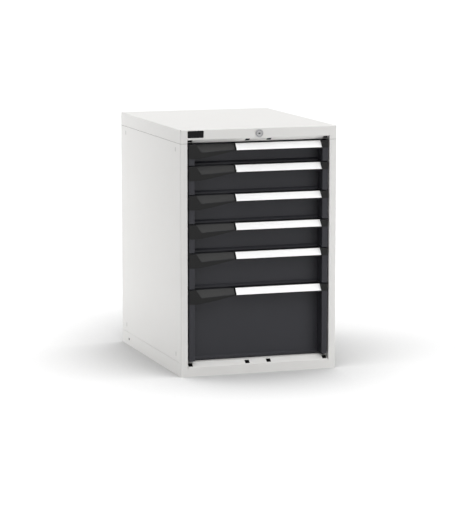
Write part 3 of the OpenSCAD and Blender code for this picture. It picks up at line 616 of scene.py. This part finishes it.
def add_seam_shade(material):
    """Black strip between each side panel and the top cover: painted shade in the seam."""
    z0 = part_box("right_side_panel")[1].z + SEAM_SHADE_PLAY
    z1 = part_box("top_cover")[0].z - SEAM_SHADE_PLAY
    outer, inner = (seam_path(behind) for behind in SEAM_SHADE_BEHIND)
    mesh = bmesh.new()
    for way in (1, -1):
        loops = []
        for (ox, oy), (ix, iy) in zip(outer, inner):
            loops.append([(way * ox, oy, z0), (way * ox, oy, z1), (way * ix, iy, z1), (way * ix, iy, z0)])
        join_loops(mesh, loops, closed=False)
    add_piece("cover_seam_shade", mesh, material, "cabinet", FINE_EDGE)


def add_hollow_shades(material):
    """Black pieces in the reliefs of the cover's front corners and in the fixing holes of the plinth:
    painted shade of these hollows.
    """
    # The rounded corner lies this far inside each of the three faces that meet there
    corner = BEND_R - BEND_R / math.sqrt(3)
    reliefs = bmesh.new()
    holes = bmesh.new()
    for way in (1, -1):
        at = Vector((way * (SIDE_X - corner), FRONT_Y + corner, TOP_Z - corner))
        turned(reliefs, CORNER_RELIEF_SHADE, at, Vector((way, -1.0, 1.0)).normalized(), closed=False)
        at = Vector((way * SIDE_X, BACK_Y - PLINTH_HOLE[0], PLINTH_HOLE[1]))
        turned(holes, PLINTH_HOLE_SHADE, at, Vector((way, 0.0, 0.0)), closed=False)
    add_piece("corner_relief_shades", reliefs, material, "cabinet", FINE_EDGE)
    add_piece("plinth_hole_shades", holes, material, "cabinet", FINE_EDGE)


def add_fittings(finishes, lock_centre):
    """Small pieces that the CAD model leaves to the looks."""
    shade_black = finishes["shade_black"]
    for k in DRAWERS:
        add_label_holder(k, finishes["card"])
        add_wall_shade_strip(k, shade_black)
        add_hem_lip(k, finishes["drawer"])
    add_slot_shades("head_slot_shades", HEAD_SLOPE_Z, 1, shade_black)
    add_slot_shades("sill_slot_shades", SILL_SLOPE_Z, -1, shade_black)
    add_lock_rings(lock_centre, finishes["nickel"], shade_black)
    add_keyhole_shade(lock_centre, shade_black)
    add_seam_shade(shade_black)
    add_hollow_shades(shade_black)


def dress_cabinet():
    lock_low, lock_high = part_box("lock_barrel")
    lock_centre = (lock_low + lock_high) / 2
    finishes = make_finishes(lock_centre)
    dress_nodes(finishes)
    add_fittings(finishes, lock_centre)


def add_camera():
    data = bpy.data.cameras.new("camera")
    data.lens = LENS_MM
    data.sensor_width = SENSOR_MM
    data.clip_end = CLIP_END
    camera = bpy.data.objects.new("camera", data)
    camera.location = CAMERA_AT
    camera.rotation_euler = (math.pi / 2 - CAMERA_PITCH, 0.0, -CAMERA_YAW)
    bpy.context.scene.collection.objects.link(camera)
    bpy.context.scene.camera = camera


def seen_directly(tree):
    """1 for rays from the camera, from reflections and through clear parts, 0 for lighting rays."""
    path = tree.nodes.new("ShaderNodeLightPath")
    seen = path.outputs["Is Camera Ray"]
    for ray in ("Is Glossy Ray", "Is Transmission Ray"):
        either = tree.nodes.new("ShaderNodeMath")
        either.operation = "MAXIMUM"
        tree.links.new(seen, either.inputs[0])
        tree.links.new(path.outputs[ray], either.inputs[1])
        seen = either.outputs[0]
    return seen


def add_world():
    """White where it is seen, and a soft even surround as light."""
    world = bpy.data.worlds.new("surround")
    world.use_nodes = True
    bpy.context.scene.world = world
    tree = world.node_tree
    level = tree.nodes.new("ShaderNodeMapRange")
    level.inputs["To Min"].default_value = SURROUND
    level.inputs["To Max"].default_value = 1.0
    tree.links.new(seen_directly(tree), level.inputs["Value"])
    background = tree.nodes["Background"]
    background.inputs["Color"].default_value = WHITE
    tree.links.new(level.outputs["Result"], background.inputs["Strength"])


def add_lamp(data, strength, at, aim):
    """Places a lamp that shines along aim; only the key shows in reflections."""
    data.energy = strength
    lamp = bpy.data.objects.new(data.name, data)
    lamp.location = at
    lamp.rotation_euler = Vector(aim).to_track_quat("-Z", "Y").to_euler()
    lamp.visible_camera = False
    lamp.visible_glossy = data.name == KEY
    bpy.context.scene.collection.objects.link(lamp)


def add_lamps():
    for sun in SUNS:
        data = bpy.data.lights.new(sun["name"], "SUN")
        data.angle = sun["spread"]
        add_lamp(data, sun["strength"], (0.0, 0.0, 0.0), -Vector(sun["from"]))
    for fill in FILLS:
        data = bpy.data.lights.new(fill["name"], "AREA")
        data.shape = "RECTANGLE"
        data.size, data.size_y = fill["size"]
        add_lamp(data, fill["strength"], fill["at"], Vector(fill["to"]) - Vector(fill["at"]))


def floor_material():
    """Pale floor whose colour darkens softly where the cabinet stands over it: a painted shadow."""
    material = bpy.data.materials.new("floor")
    material.use_nodes = True
    tree = material.node_tree
    tree.nodes.remove(tree.nodes["Principled BSDF"])
    contact = tree.nodes.new("ShaderNodeAmbientOcclusion")
    contact.samples = CONTACT_SAMPLES
    contact.inputs["Distance"].default_value = CONTACT_REACH
    open_sky = tree.nodes.new("ShaderNodeMapRange")
    open_sky.inputs["From Min"].default_value = CONTACT_FULL
    tree.links.new(contact.outputs["AO"], open_sky.inputs["Value"])
    # Painted shadow: the floor's colour darkens as more of the sky around it is hidden
    painted_shadow = tree.nodes.new("ShaderNodeMix")
    painted_shadow.data_type = "RGBA"
    painted_shadow.inputs["A"].default_value = PAINTED_SHADOW_DARK
    painted_shadow.inputs["B"].default_value = FLOOR_COLOUR
    tree.links.new(open_sky.outputs["Result"], painted_shadow.inputs["Factor"])
    # Only rays seen directly get the painted shadow; lighting rays get the even bounce colour
    colour = tree.nodes.new("ShaderNodeMix")
    colour.data_type = "RGBA"
    colour.inputs["A"].default_value = FLOOR_BOUNCE
    tree.links.new(seen_directly(tree), colour.inputs["Factor"])
    tree.links.new(painted_shadow.outputs["Result"], colour.inputs["B"])
    paint = tree.nodes.new("ShaderNodeBsdfDiffuse")
    tree.links.new(colour.outputs["Result"], paint.inputs["Color"])
    tree.links.new(paint.outputs["BSDF"], tree.nodes["Material Output"].inputs["Surface"])
    return material


def add_floor():
    mesh = bpy.data.meshes.new("floor")
    h = FLOOR_HALF
    mesh.from_pydata([(-h, -h, 0), (h, -h, 0), (h, h, 0), (-h, h, 0)], [], [(0, 1, 2, 3)])
    mesh.materials.append(floor_material())
    floor = bpy.data.objects.new("floor", mesh)
    bpy.context.scene.collection.objects.link(floor)


bpy.context.scene.view_settings.view_transform = "Standard"
add_camera()
add_world()
add_lamps()
add_floor()
dress_cabinet()

bpy.context.view_layer.update()
